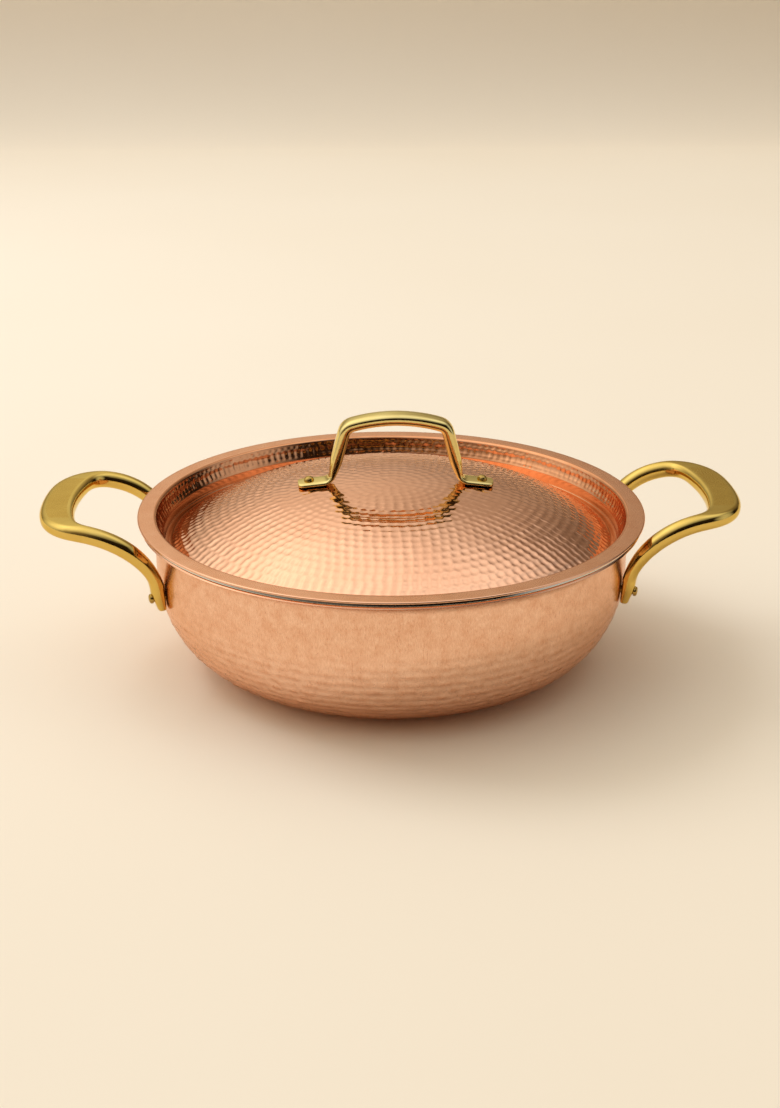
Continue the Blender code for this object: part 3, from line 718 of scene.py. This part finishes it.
def sections(places, across, normal, widths, thicknesses, power, around):
    """A superellipse around each place: |u| ** power + |v| ** power = 1, scaled by half width and thickness."""
    angles = 2.0 * np.pi * np.arange(around) / around
    power = np.broadcast_to(power, len(places))[:, None]
    u = np.sign(np.cos(angles)) * np.abs(np.cos(angles)) ** (2.0 / power)
    v = np.sign(np.sin(angles)) * np.abs(np.sin(angles)) ** (2.0 / power)
    wide = 0.5 * widths[:, None, None] * u[:, :, None] * across[:, None, :]
    thick = 0.5 * thicknesses[:, None, None] * v[:, :, None] * normal[:, None, :]
    return places[:, None, :] + wide + thick

# %% The side handles
FOOT_AZIMUTH = math.radians(19.0)
SIDE_RIVET_Z = PAN_HEIGHT - 0.0289
FOOT_BELOW_RIVET = 0.0062
FOOT_ABOVE_RIVET = 0.0050
FOOT_WIDTH = 0.0093
FOOT_TIP_WIDTH = 0.0074
FOOT_THICKNESS = 0.0060
FOOT_TIP_THICKNESS = 0.0040
LEG_WIDTH = 0.0082
LEG_THICKNESS = 0.0080
ANKLE_LEAD = 0.0078
KNEE_REACH = 0.0061
KNEE_SPAN = 0.0858
KNEE_DROP = 0.0050
SHOULDER_REACH = 0.0262
LEG_SPAN = 0.0791
SHOULDER_DROP = 0.0009
SHOULDER_LEAD = 0.0096
CORNER_SPAN = 0.0620
GRIP_REACH = 0.0447
GRIP_RISE = 0.0050
LEFT_GRIP_DROP = 0.0016
GRIP_WIDTH = 0.0161
GRIP_THICKNESS = 0.0098
GRIP_FLAT = 0.0037          # grip's centre up to the ground flat
FACET_ROUNDING = 0.00030
FACET_SPAN = 0.0560
FLAT_UPRIGHT = 0.995        # a face whose normal is this upright belongs to the ground flat
SEAT_GAP = 0.0001
TILT_STEP = 0.002           # above and below the rivet, where the wall's tilt is read
TIP_ROUND = 0.0012
TIP_START = 0.15            # radians into the tip's quarter ellipse, where its first ring lies
TIP_GROWTH = 0.45           # of the foot's full section, the part that comes with the tip's rounding
TIP_ROWS = 8
FOOT_RUNS = (0.003, 0.0048, 0.007, 0.0092)   # from the tip, the rings above it
FOOT_GROWTH_RUN = 0.0085
LEG_ROWS = 44
BEND_ROWS = 50
LEG_WIDTH_AT = 0.62         # share of the leg by which it has its own width,
LEG_THICKNESS_AT = 0.83     # its own thickness
LEG_POWER_AT = 0.3          # and its own section
GRIP_WIDTH_AT = 0.83        # share of the bend by which the grip has its full width
HANDLE_AROUND = 56


def wall_frame(azimuth):
    """The place on the wall under a side rivet, the way out of the wall and the way up along it."""
    side = pan_side(0.0)[::-1]
    radius = np.interp(SIDE_RIVET_Z, side[1:, 1], side[1:, 0])
    above = np.interp(SIDE_RIVET_Z + TILT_STEP, side[1:, 1], side[1:, 0])
    below = np.interp(SIDE_RIVET_Z - TILT_STEP, side[1:, 1], side[1:, 0])
    tilt = math.atan2(above - below, 2.0 * TILT_STEP)
    outward = np.array([math.cos(azimuth), math.sin(azimuth), 0.0])
    out_of_wall = outward * math.cos(tilt) - UP * math.sin(tilt)
    along_wall = outward * math.sin(tilt) + UP * math.cos(tilt)
    return outward * radius + UP * SIDE_RIVET_Z, out_of_wall, along_wall


def foot_rows(seat, out_of_wall, along_wall):
    """The foot, from its rounded tip up: its section grows to full width and thickness in a quarter ellipse."""
    tip = np.linspace(TIP_START, 0.5 * np.pi, TIP_ROWS)
    run = np.concatenate([TIP_ROUND * (1.0 - np.cos(tip)), FOOT_RUNS])
    swell = np.concatenate([1.0 - TIP_GROWTH + TIP_GROWTH * np.sin(tip), np.ones(len(FOOT_RUNS))])
    grown = ease(0.0, 1.0, run / FOOT_GROWTH_RUN)
    full = mix(FOOT_TIP_THICKNESS, FOOT_THICKNESS, grown)
    along = run - FOOT_BELOW_RIVET
    places = seat + along[:, None] * along_wall + (0.5 * full)[:, None] * out_of_wall
    return places, mix(FOOT_TIP_WIDTH, FOOT_WIDTH, grown) * swell, full * swell


def side_handle_rings(grip_drop):
    """Rings of the right-hand handle from its rear foot, over the grip, to its front foot."""
    rivet_place, out_of_wall, along_wall = wall_frame(FOOT_AZIMUTH)
    seat = rivet_place + out_of_wall * SEAT_GAP
    places, widths, thicknesses = foot_rows(seat, out_of_wall, along_wall)
    grip_z = PAN_HEIGHT + GRIP_RISE - grip_drop
    ankle = seat + along_wall * FOOT_ABOVE_RIVET + out_of_wall * (0.5 * FOOT_THICKNESS)
    knee = np.array([PAN_RADIUS + KNEE_REACH, 0.5 * KNEE_SPAN, grip_z - KNEE_DROP])
    shoulder = np.array([PAN_RADIUS + SHOULDER_REACH, 0.5 * LEG_SPAN, grip_z - SHOULDER_DROP])
    corner = np.array([PAN_RADIUS + GRIP_REACH, 0.5 * CORNER_SPAN, grip_z])
    grip_middle = np.array([PAN_RADIUS + GRIP_REACH, 0.0, grip_z])
    leg = cubic([ankle, ankle + along_wall * ANKLE_LEAD, knee, shoulder], LEG_ROWS)
    bend = cubic([shoulder, shoulder + unit(shoulder - knee) * SHOULDER_LEAD, corner, grip_middle], BEND_ROWS)
    leg_share = np.linspace(0.0, 1.0, LEG_ROWS)
    bend_share = np.linspace(0.0, 1.0, BEND_ROWS)[1:]
    centres = np.concatenate([places, leg, bend[1:]])
    widths = np.concatenate([widths, ease(FOOT_WIDTH, LEG_WIDTH, leg_share / LEG_WIDTH_AT),
                             ease(LEG_WIDTH, GRIP_WIDTH, bend_share / GRIP_WIDTH_AT)])
    thicknesses = np.concatenate([thicknesses, ease(FOOT_THICKNESS, LEG_THICKNESS, leg_share / LEG_THICKNESS_AT),
                                  ease(LEG_THICKNESS, GRIP_THICKNESS, bend_share)])
    runs = unit(np.gradient(centres, axis=0))
    across = unit(np.cross(UP, runs))
    across[:len(places)] = unit(np.cross(UP, out_of_wall))
    normal = np.cross(runs, across)
    normal[:len(places)] = -out_of_wall
    powers = np.concatenate([np.full(len(places), FOOT_POWER),
                             ease(FOOT_POWER, LEG_POWER, leg_share / LEG_POWER_AT),
                             ease(LEG_POWER, GRIP_POWER, bend_share)])
    half = sections(centres, across, normal, widths, thicknesses, powers, HANDLE_AROUND)
    front = half[-2::-1] * np.array([1.0, -1.0, 1.0])
    rings = np.concatenate([half, front])
    flat_z = grip_z + GRIP_FLAT
    over = rings[:, :, 2] - flat_z
    rings[:, :, 2] = flat_z - FACET_ROUNDING * np.log1p(np.exp(-over / FACET_ROUNDING))
    return rings


def side_handle(side, sign, grip_drop):
    """One handle; the left one is the right one turned half round the axis. Its ground flat has its own slot:
    the upright faces within a fifth of the rounding below the flat, along the grip's straight run.
    """
    rings = side_handle_rings(grip_drop) * np.array([sign, sign, 1.0])
    mesh = closed_mesh(side + "_handle", list(rings), rings[0].mean(axis=0), rings[-1].mean(axis=0))
    normals, centres = np.zeros(len(mesh.polygons) * 3), np.zeros(len(mesh.polygons) * 3)
    mesh.polygons.foreach_get("normal", normals)
    mesh.polygons.foreach_get("center", centres)
    flat_z = PAN_HEIGHT + GRIP_RISE - grip_drop + GRIP_FLAT
    is_flat = ((normals[2::3] > FLAT_UPRIGHT) & (centres[2::3] > flat_z - 0.2 * FACET_ROUNDING)
               & (np.abs(centres[1::3]) < 0.5 * FACET_SPAN))
    mesh.polygons.foreach_set("material_index", is_flat.astype(int))
    return add_piece(side + "_handle", mesh, "pan", [side + "_side_handle"], [cast_brass, ground_brass])


for side, sign, grip_drop in (("right", 1.0, 0.0), ("left", -1.0, LEFT_GRIP_DROP)):
    side_handle(side, sign, grip_drop)

# %% [markdown]
# ## The lid handle
# A brass strap bent into an arch: two flattened feet riveted to the dome, two leaning legs and a gently
# crowned top. Its corners are arcs between straight runs, and its section is a superellipse, between an
# ellipse and a rectangle.

# %% The lid handle
ARCH_OFFSET = 0.0023
ARCH_SETBACK = 0.0030
ARCH_HEIGHT = 0.0357
ARCH_CROWN = 0.0040
ANKLE_REACH = 0.0101
TOE_REACH = 0.0054
LEG_LEAN = 0.0070
STRAP_WIDTH = 0.0114
STRAP_THICKNESS = 0.0059
TOE_THICKNESS = 0.0023
SHOULDER_FILLET = 0.0056
ANKLE_FILLET = 0.0050
LID_RIVET_RADIUS = 0.0410
STRAP_POWER = 3.0
STRAP_AROUND = 48
THICKEN_SHARE = 0.4         # of the arch's height, where a leg has its full thickness
LEAD_ALONG = 0.55           # of the way from the middle to a shoulder, where the crowned top begins,
LEAD_DROP = 0.12            # and how much of the crown's rise is missing there
LEAD_HOLD = 0.6             # of that way, how far the curve of the top holds each end's direction
TOE_ROUNDING = 0.55 * TOE_REACH
TOE_TIP_WIDTH = 0.5         # of the strap's width, what is left at the toe's end
TOE_ROWS = 12
BEND_POINTS = 15
TOP_POINTS = 24
STRAP_ROWS = 110


def dome_slope(radius):
    """How steeply the dome falls outwards: the slope of dome_height, in radians."""
    share = radius / VALLEY_RADIUS
    fall = 2.0 * CROWN_SHARE * share + 4.0 * (1.0 - CROWN_SHARE) * share ** 3
    return math.atan(DOME_RISE * fall / VALLEY_RADIUS)


def arch_placement():
    """Off the crown by its offset and setback, leant so that both feet meet the dome."""
    high = dome_height(LID_RIVET_RADIUS - ARCH_OFFSET)
    low = dome_height(LID_RIVET_RADIUS + ARCH_OFFSET)
    lean = math.atan2(high - low, 2.0 * LID_RIVET_RADIUS)
    return Matrix.Translation((ARCH_OFFSET, ARCH_SETBACK, 0.5 * (high + low))) @ Matrix.Rotation(lean, 4, "Y")


def rounded_path(corners, radii, count):
    """Straight runs between corners in the XZ plane, each corner an arc of its radius."""
    points = [corners[0]]
    for before, corner, after, radius in zip(corners, corners[1:], corners[2:], radii):
        back, ahead = unit(before - corner), unit(after - corner)
        half_angle = 0.5 * math.acos(float(back @ ahead))
        reach = radius / math.tan(half_angle)
        middle = corner + unit(back + ahead) * (radius / math.sin(half_angle))
        first, last = corner + back * reach - middle, corner + ahead * reach - middle
        turn = math.pi - 2.0 * half_angle
        share = np.linspace(0.0, 1.0, count)[:, None]
        points += list(middle + (first * np.sin((1.0 - share) * turn) + last * np.sin(share * turn)) / math.sin(turn))
    points.append(corners[-1])
    return np.array(points)


def lid_handle_path():
    """The strap's centre line from the toe on +X to the middle of the arch, and each place's distance along it."""
    slope = dome_slope(LID_RIVET_RADIUS)
    lift = (SEAT_GAP + 0.5 * TOE_THICKNESS) / math.cos(slope)
    ankle_x = LID_RIVET_RADIUS - ANKLE_REACH
    shoulder_x = ankle_x - LEG_LEAN
    top_z = ARCH_HEIGHT - 0.5 * STRAP_THICKNESS
    toe = np.array([LID_RIVET_RADIUS + TOE_REACH, 0.0, lift - TOE_REACH * math.tan(slope)])
    ankle = np.array([ankle_x, 0.0, lift + ANKLE_REACH * math.tan(slope)])
    shoulder = np.array([shoulder_x, 0.0, top_z - ARCH_CROWN])
    crown = np.array([0.0, 0.0, top_z])
    crown_lead = np.array([LEAD_ALONG * shoulder_x, 0.0, top_z - LEAD_DROP * ARCH_CROWN])
    bends = rounded_path([toe, ankle, shoulder, crown_lead], [ANKLE_FILLET, SHOULDER_FILLET], BEND_POINTS)
    level_lead = mix(crown, crown_lead, LEAD_HOLD) * (1.0, 1.0, 0.0) + (0.0, 0.0, top_z)
    top = cubic([bends[-2], mix(bends[-2], crown_lead, LEAD_HOLD), level_lead, crown], TOP_POINTS)
    path = np.concatenate([bends[:-2], top])
    runs = np.concatenate([[0.0], np.cumsum(np.linalg.norm(np.diff(path, axis=0), axis=1))])
    rounding = TOE_ROUNDING * (1.0 - np.cos(np.linspace(0.0, 0.5 * np.pi, TOE_ROWS)))
    places = np.concatenate([rounding, np.linspace(rounding[-1], runs[-1], STRAP_ROWS)[1:]])
    return np.stack([np.interp(places, runs, path[:, axis]) for axis in range(3)], axis=1), places


def lid_handle_mesh():
    """The strap's sections along its path, mirrored in the arch's middle, then placed on the dome."""
    half, places = lid_handle_path()
    foot_z = half[0, 2]
    thick_z = mix(foot_z, half[-1, 2], THICKEN_SHARE)
    round_share = np.clip(places / TOE_ROUNDING, 0.0, 1.0)
    widths = STRAP_WIDTH * mix(TOE_TIP_WIDTH, 1.0, np.sqrt(1.0 - (1.0 - round_share) ** 2))
    thicknesses = ease(TOE_THICKNESS, STRAP_THICKNESS, (half[:, 2] - foot_z) / (thick_z - foot_z))
    across = np.tile([0.0, 1.0, 0.0], (len(half), 1))
    normal = np.cross(unit(np.gradient(half, axis=0)), across)
    rows = sections(half, across, normal, widths, thicknesses, STRAP_POWER, STRAP_AROUND)
    rows = np.concatenate([rows, rows[-2::-1] * np.array([-1.0, 1.0, 1.0])])
    turn = np.array(arch_placement())
    rows = rows @ turn[:3, :3].T + turn[:3, 3]
    return closed_mesh("lid_strap", list(rows), rows[0].mean(axis=0), rows[-1].mean(axis=0))


add_piece("lid_strap", lid_handle_mesh(), "lid", ["lid_handle"], [strap_brass])

# %% [markdown]
# ## Rivets
# Solid brass rivets hold the handles. A side rivet's head is a low button with a flat top, a lid rivet's a
# rounder dome, and each has a spread tail on the steel inside. A rivet is a small turned outline set along its
# axis, and its head is a superellipse.

# %% Rivets
RIVET_COLUMNS = 40
RIVET_DOME_ROWS = 12
SIDE_RIVET = {"shank": 0.0017, "head": 0.0023, "head_height": 0.0017, "head_power": 3.4,
              "tail": 0.0036, "tail_height": 0.0014}
LID_RIVET = {"shank": 0.0015, "head": 0.0024, "head_height": 0.0020, "head_power": 2.2,
             "tail": 0.0030, "tail_height": 0.0012}
TAIL_GAP = 0.0002           # left under the tail
SIDE_HEAD_SEAT = 0.94       # of the foot's thickness, how far out its rivet's head sits


def rivet_rings(shank, head, head_height, head_power, tail, tail_height, length):
    """A rivet along Z from the tail up: domes on a straight shank, z = 0 under the head.

    The head is (r / head) ** power + (z / head_height) ** power = 1, and the tail is half an ellipse.
    """
    angles = np.linspace(0.0, 0.5 * np.pi, RIVET_DOME_ROWS)
    tail_dome = np.stack([tail * np.sin(angles), -length - tail_height * np.cos(angles)], axis=1)[1:]
    head_radii = head * np.cos(angles) ** (2.0 / head_power)
    head_heights = head_height * np.sin(angles) ** (2.0 / head_power)
    head_dome = np.stack([head_radii, head_heights], axis=1)[:-1]
    outline = np.concatenate([tail_dome, [(shank, -length), (shank, 0.0)], head_dome])
    around = 2.0 * np.pi * np.arange(RIVET_COLUMNS) / RIVET_COLUMNS
    return [np.stack([radius * np.cos(around), radius * np.sin(around), np.full(RIVET_COLUMNS, z)], axis=1)
            for radius, z in outline]


def add_rivet(name, node, body, sizes, length, placement):
    """A rivet at a placement whose +Z runs out through its head."""
    turn = np.array(placement)
    rings = [ring @ turn[:3, :3].T + turn[:3, 3] for ring in rivet_rings(length=length, **sizes)]
    axis, origin = turn[:3, 2], turn[:3, 3]
    start = origin - axis * (length + sizes["tail_height"])
    end = origin + axis * sizes["head_height"]
    mesh = closed_mesh(name, rings, start, end)
    return add_piece(name, mesh, body, [node], [rivet_brass])


def facing(place, direction):
    """A placement at a place, turned so that its +Z runs along a direction."""
    return Matrix.Translation(place) @ Vector(direction).to_track_quat("Z", "Y").to_matrix().to_4x4()


for side, turn in (("right", 0.0), ("left", math.pi)):
    for end, sign in (("rear", 1.0), ("front", -1.0)):
        azimuth = turn + (sign if side == "right" else -sign) * FOOT_AZIMUTH
        place, out_of_wall, _ = wall_frame(azimuth)
        grip = SEAT_GAP + SIDE_HEAD_SEAT * FOOT_THICKNESS
        add_rivet(f"{side}_{end}_rivet", f"{side}_{end}_handle_rivet", "pan", SIDE_RIVET,
                  grip + PAN_WALL + TAIL_GAP, facing(place + out_of_wall * grip, out_of_wall))

slope = dome_slope(LID_RIVET_RADIUS)
for side, sign in (("right", 1.0), ("left", -1.0)):
    direction = Vector((sign * math.sin(slope), 0.0, math.cos(slope)))
    grip = SEAT_GAP + TOE_THICKNESS
    head = Vector((sign * LID_RIVET_RADIUS, 0.0, 0.0)) + direction * grip
    add_rivet(side + "_lid_handle_rivet", side + "_lid_rivet", "lid", LID_RIVET,
              grip + LID_SKIN + FIT_GAP + LID_LINING + TAIL_GAP, arch_placement() @ facing(head, direction))

# %% [markdown]
# ## Floor and light
# The kadai stands on a cream sweep that curves up into the background. Metal shows what stands around it, so
# the room itself is drawn, by direction: a light side behind on the left that falls to a warm, dim side in
# front on the right, which draws the dark lines in the brass. Over it lie four soft lights: the ceiling, a
# window on the left, and a white wall on the right in a higher and a lower part. Near the table the room is
# darker. A lamp behind on the left casts the shadow. It isn't mirrored in the metal, where its square would
# look harder than the soft light of the photograph.

# %% The sweep
SWEEP_FRONT = -2.2
SWEEP_BACK = 1.9
SWEEP_RADIUS = 0.3
SWEEP_TOP = 0.34
SWEEP_WIDTH = 5.0
SWEEP_ROWS = 24
PAPER_LIGHT, PAPER_DARK = "F9E8CD", "F5E2C4"
PAPER_DRIFT_MM = 625.0


def sweep_outline():
    """The sweep from the front edge back, round a quarter circle and up."""
    bend = arc((SWEEP_BACK, SWEEP_RADIUS), SWEEP_RADIUS, -90.0, 0.0, SWEEP_ROWS)
    return np.concatenate([[(SWEEP_FRONT, 0.0)], bend, [(SWEEP_BACK + SWEEP_RADIUS, SWEEP_TOP)]])


def cream_paper():
    """Matt cream paper: dull, nearly without a sheen, with a slow drift in its tone."""
    material = bpy.data.materials.new("paper_cream_matt")
    material.use_nodes = True
    tree = material.node_tree
    shader = tree.nodes["Principled BSDF"]
    shader.inputs["Roughness"].default_value = 0.9
    shader.inputs["Specular IOR Level"].default_value = 0.1
    place = add_node(tree, "ShaderNodeTexCoord", {}, {}).outputs["Object"]
    drift = add_node(tree, "ShaderNodeTexNoise", {},
                     {"Vector": place, "Scale": 1000.0 / PAPER_DRIFT_MM, "Detail": 2.0})
    colour = add_node(tree, "ShaderNodeMix", {"data_type": "RGBA"},
                      {0: drift.outputs["Fac"], 6: linear(PAPER_LIGHT), 7: linear(PAPER_DARK)})
    tree.links.new(colour.outputs[2], shader.inputs["Base Color"])
    return material


sweep_line = sweep_outline()
edges = np.array([-0.5 * SWEEP_WIDTH, 0.5 * SWEEP_WIDTH])
sweep_points = [(x, y, z) for y, z in sweep_line for x in edges]
sweep_faces = [(2 * i, 2 * i + 1, 2 * i + 3, 2 * i + 2) for i in range(len(sweep_line) - 1)]
sweep_mesh = bpy.data.meshes.new("sweep")
sweep_mesh.from_pydata(sweep_points, [], sweep_faces)
sweep_mesh.shade_smooth()
sweep_mesh.materials.append(cream_paper())
sweep = bpy.data.objects.new("sweep", sweep_mesh)
bpy.context.scene.collection.objects.link(sweep)

# %% The room's tones
ROOM_AXIS = (-0.832, 0.555, 0.0)     # towards the bright side of the room
# The room's tone by the cosine of the angle from that axis
ROOM_TONES = ((-0.5, "2A211A"), (-0.05, "857A6F"), (0.35, "BCB4AA"), (0.56, "F2EDE5"), (0.95, "CFCAC2"))
LOW_SHARE = 0.52                     # of the room's light, what is left of it near the table
LOW_REACH = (0.1, 0.4)               # heights of a direction between which it comes back
# Each soft light's direction, the cosine of the angle to its edge, and its strength in the middle
SOFT_LIGHTS = (((-0.20, 0.05, 0.98), 0.50, 1.00),       # the ceiling
               ((-0.95, 0.25, 0.20), 0.82, 0.50),       # a window on the left
               ((0.62, 0.18, 0.76), 0.84, 0.55),        # a white wall high on the right
               ((0.96, -0.18, 0.20), 0.84, 0.72))       # and its lower part
SOFT_TINT = (1.0, 1.05, 1.10)
BACKGROUND = "F5E7D1"


def room_world():
    """A studio by direction: tones along ROOM_AXIS, darker near the table, plus the soft lights."""
    world = bpy.data.worlds.new("room")
    world.use_nodes = True
    tree = world.node_tree
    way = add_node(tree, "ShaderNodeTexCoord", {}, {}).outputs["Generated"]
    aside = add_node(tree, "ShaderNodeVectorMath", {"operation": "DOT_PRODUCT"}, {0: way, 1: ROOM_AXIS})
    share = add_node(tree, "ShaderNodeMapRange", {}, {"Value": aside.outputs["Value"], "From Min": -1.0})
    side = add_node(tree, "ShaderNodeValToRGB", {}, {"Fac": share.outputs["Result"]})
    ramp = side.color_ramp
    ramp.interpolation = "EASE"
    for index, (cosine, tone) in enumerate(ROOM_TONES):
        stop = ramp.elements[index] if index < 2 else ramp.elements.new(1.0)
        stop.position = 0.5 + 0.5 * cosine
        stop.color = linear(tone)
    height = add_node(tree, "ShaderNodeSeparateXYZ", {}, {"Vector": way})
    low = add_node(tree, "ShaderNodeMapRange", {"interpolation_type": "SMOOTHSTEP"},
                   {"Value": height.outputs["Z"], "From Min": LOW_REACH[0], "From Max": LOW_REACH[1],
                    "To Min": LOW_SHARE, "To Max": 1.0})
    light = add_node(tree, "ShaderNodeMix", {"data_type": "RGBA", "blend_type": "MULTIPLY"},
                     {0: 1.0, 6: side.outputs["Color"], 7: low.outputs["Result"]})
    for axis, edge, strength in SOFT_LIGHTS:
        towards = add_node(tree, "ShaderNodeVectorMath", {"operation": "DOT_PRODUCT"}, {0: way, 1: axis})
        glow = add_node(tree, "ShaderNodeMapRange", {},
                        {"Value": towards.outputs["Value"], "From Min": edge, "From Max": 1.0, "To Max": strength})
        tinted = add_node(tree, "ShaderNodeVectorMath", {"operation": "SCALE"},
                          {0: SOFT_TINT, "Scale": glow.outputs["Result"]})
        light = add_node(tree, "ShaderNodeMix", {"data_type": "RGBA", "blend_type": "ADD"},
                         {0: 1.0, 6: light.outputs[2], 7: tinted.outputs["Vector"]})
    seen = add_node(tree, "ShaderNodeLightPath", {}, {}).outputs["Is Camera Ray"]
    shown = add_node(tree, "ShaderNodeMix", {"data_type": "RGBA"},
                     {0: seen, 6: light.outputs[2], 7: linear(BACKGROUND)})
    tree.links.new(shown.outputs[2], tree.nodes["Background"].inputs["Color"])
    return world


bpy.context.scene.world = room_world()
print("room tones", len(ROOM_TONES), "and soft lights", len(SOFT_LIGHTS))

# %% The lamp
KEY_PLACE = (-1.36, 0.73, 1.56)
KEY_SIZE = 1.0
KEY_POWER = 14.5
KEY_COLOUR = (0.92, 1.03, 1.27)

key_data = bpy.data.lights.new("key", "AREA")
key_data.size = KEY_SIZE
key_data.energy = KEY_POWER
key_data.color = KEY_COLOUR
key = bpy.data.objects.new("key", key_data)
bpy.context.scene.collection.objects.link(key)
key.matrix_world = facing(Vector(KEY_PLACE), Vector(KEY_PLACE))
key.visible_glossy = False
print("key lamp", KEY_POWER, "W at", KEY_PLACE)
